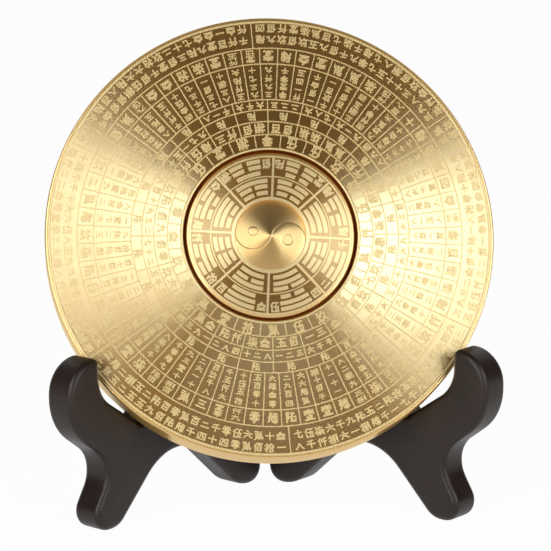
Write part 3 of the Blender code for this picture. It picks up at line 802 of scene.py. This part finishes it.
def makeLeg(name, side, node, body):
    place = hingePlace @ Matrix.Rotation(-math.pi / 2 + side * math.radians(stand["splay"]), 4, "Z")
    inner = leg["faceGap"] / 2
    outer = inner + leg["thickness"]
    mesh = plateMesh(name, [legOutline()], leg["thickness"] * mm, 0, leg["edge"] * mm, leg["edgeSteps"])
    mesh.transform(Matrix.Translation((0, side * (inner + outer) / 2 * mm, 0))
                   @ Matrix.Rotation(math.pi / 2, 4, "X"))
    base = looseObject(name, mesh, place)

    splay = math.radians(stand["splay"])

    def mitre(across):
        return (inner - across * math.cos(splay)) / math.sin(splay)

    root = leg["endGap"] + leg["edge"] * 2
    corner = outer - leg["edge"]
    spine = [(root, inner), (root, outer), (mitre(corner), outer), (mitre(corner), corner),
             (mitre(inner), inner)]
    spine = [(u * mm, side * w * mm) for u, w in spine]
    spineTop = leg["hingeTop"] - leg["edge"] * 2
    low, high = leg["hingeBottom"] * mm, spineTop * mm
    tools = [(looseObject("spine", plateMesh("spine", [spine], high - low, (high + low) / 2, 0), place),
              "UNION")]
    band = (leg["hingeTop"] - leg["hingeBottom"]) / leg["knuckles"]
    for i in range(leg["knuckles"]):
        bottom = leg["hingeBottom"] + band * i
        top = bottom + band
        gap = leg["knuckleGap"] / 2
        if (i % 2 == 0) == (side < 0):
            tools.append((drum("knuckle", leg["knuckleRadius"], bottom + gap, top - gap, place), "UNION"))
        else:
            tools.append((drum("room", leg["knuckleRadius"] + gap * 2, bottom - gap, top + gap, place),
                          "DIFFERENCE"))
    tools.append((drum("bore", leg["pin"] / 2 + leg["clearance"],
                       leg["hingeBottom"] + leg["pinFloor"] - leg["clearance"],
                       leg["hingeTop"] + leg["boreRun"], place), "DIFFERENCE"))
    solid = applyCuts(base, tools)
    bpy.data.objects.remove(base, do_unlink=True)
    piece = makePiece(name, solid, plastic, place, body, 40)
    weighted = piece.modifiers.new("evenNormals", "WEIGHTED_NORMAL")
    weighted.keep_sharp = True
    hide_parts(node)


makeLeg("leftLeg", -1, "left_leg", "left_leg_body")
makeLeg("rightLeg", 1, "right_leg", "right_leg_body")
print("legs moulded")


# Hinge pin with a rounded head, and the cover over the bearing's pocket

# The pin's crown: its radii as shares of the head's, and how far below its top each lies
pinCrown = ((0.45, 0.06), (0.8, 0.3), (1.0, 0.7))
pinPoint = 0.3
cover = {"radius": 13.0, "front": -10.4, "back": -11.1, "rounding": ((0, 0.25), (0.08, 0.08), (0.25, 0))}


def makePinAndCover():
    top = leg["hingeTop"] + leg["clearance"]
    foot = leg["hingeBottom"] + leg["pinFloor"]
    shank = leg["pin"] / 2
    head = top + leg["pinHeadHeight"]
    crown = [(0, head)] + [(leg["pinHead"] * share, head - drop) for share, drop in pinCrown]
    crown += [(leg["pinHead"], top), (shank, top), (shank, foot + pinPoint), (shank - pinPoint, foot),
              (0, foot)]
    bm = bmesh.new()
    addLathe(bm, [(r * mm, z * mm) for r, z in crown], 64)
    pin = makePiece("hingePin", meshFromBm(bm, "hingePin"), zinc, hingePlace, "hinge",
                    35)
    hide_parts("hinge_pin")
    bm = bmesh.new()
    profile = [(0, cover["front"]), (cover["radius"], cover["front"])]
    profile += [(cover["radius"] - inset, cover["back"] + rise) for inset, rise in cover["rounding"]]
    profile += [(0, cover["back"])]
    addLathe(bm, [(r * mm, z * mm) for r, z in profile], 128)
    lid = makePiece("backCover", meshFromBm(bm, "backCover"), rimBrass, discPlace, "plate",
                    30)
    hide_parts("back_cover")


makePinAndCover()

# The bearing and its screw keep the solids' own shapes
for node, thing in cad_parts.items():
    kept = {"hub_screw": zinc, "bearing_cage": bronze}.get(node, steel)
    if node.startswith("bearing") or node == "hub_screw":
        thing.data.materials.clear()
        thing.data.materials.append(kept)
print("hidden pieces finished")


# Studio: a pale floor, a tall soft lamp on each side, and a low card that lifts the disc's lower part

# Each lamp: azimuth, elevation, distance, width, height, power
studio = {"floor": 6.0, "floorColour": "#f4f3f0", "backdrop": (2.4, 3.0), "glow": 0.97, "world": 0.03,
          "aim": (0, 0, 70 * mm),
          "lamps": {"leftBox": (-38, 24, 0.95, 0.5, 0.84, 8.0), "rightBox": (38, 21, 0.95, 0.5, 0.66, 5.8),
                    "lowCard": (0, 3, 0.9, 0.7, 0.14, 0.5)}}


def addLamp(name, azimuth, elevation, distance, width, height, power):
    data = bpy.data.lights.new(name, "AREA")
    data.shape = "RECTANGLE"
    data.size = width
    data.size_y = height
    data.energy = power
    lamp = bpy.data.objects.new(name, data)
    az, el = math.radians(azimuth), math.radians(elevation)
    away = Vector((math.sin(az) * math.cos(el), -math.cos(az) * math.cos(el), math.sin(el)))
    lamp.location = Vector(studio["aim"]) + away * distance
    lamp.rotation_euler = away.to_track_quat("Z", "Y").to_euler()
    lamp.visible_camera = False
    bpy.context.scene.collection.objects.link(lamp)


def makeStudio():
    size = studio["floor"] / 2
    mesh = bpy.data.meshes.new("floor")
    away, high = studio["backdrop"]
    mesh.from_pydata([(-size, -size, 0), (size, -size, 0), (size, away, 0), (-size, away, 0),
                      (size, away, high), (-size, away, high)], [], [(0, 1, 2, 3), (3, 2, 4, 5)])
    floor = bpy.data.objects.new("floor", mesh)
    bpy.context.scene.collection.objects.link(floor)
    material, tree, shader = startMaterial("paperSweep")
    shader.inputs["Base Color"].default_value = hexToLinear(studio["floorColour"])
    shader.inputs["Roughness"].default_value = 0.9
    shader.inputs["Specular IOR Level"].default_value = 0.1
    rays = addNode(tree, "ShaderNodeLightPath")
    seen = addNode(tree, "ShaderNodeMath", {"operation": "MAXIMUM"}, {0: rays.outputs["Is Camera Ray"],
                                                                      1: rays.outputs["Is Glossy Ray"]})
    seen = addNode(tree, "ShaderNodeMath", {"operation": "MAXIMUM"},
                   {0: seen.outputs[0], 1: rays.outputs["Is Transmission Ray"]})
    share = addNode(tree, "ShaderNodeMath", {"operation": "MULTIPLY", 1: studio["glow"]},
                    {0: seen.outputs[0]})
    glow = addNode(tree, "ShaderNodeEmission", {"Color": (1, 1, 1, 1), "Strength": 1.0})
    mix = addNode(tree, "ShaderNodeMixShader", {}, {0: share.outputs[0], 1: shader.outputs[0],
                                                    2: glow.outputs[0]})
    output = [node for node in tree.nodes if node.type == "OUTPUT_MATERIAL"][0]
    tree.links.new(mix.outputs[0], output.inputs["Surface"])
    mesh.materials.append(material)

    world = bpy.data.worlds.new("studio")
    bpy.context.scene.world = world
    world.use_nodes = True
    world.node_tree.nodes["Background"].inputs["Color"].default_value = (1, 1, 1, 1)
    world.node_tree.nodes["Background"].inputs["Strength"].default_value = studio["world"]
    for name, values in studio["lamps"].items():
        addLamp(name, *values)
    bpy.context.scene.view_settings.view_transform = "Standard"


makeStudio()
print("studio lit")
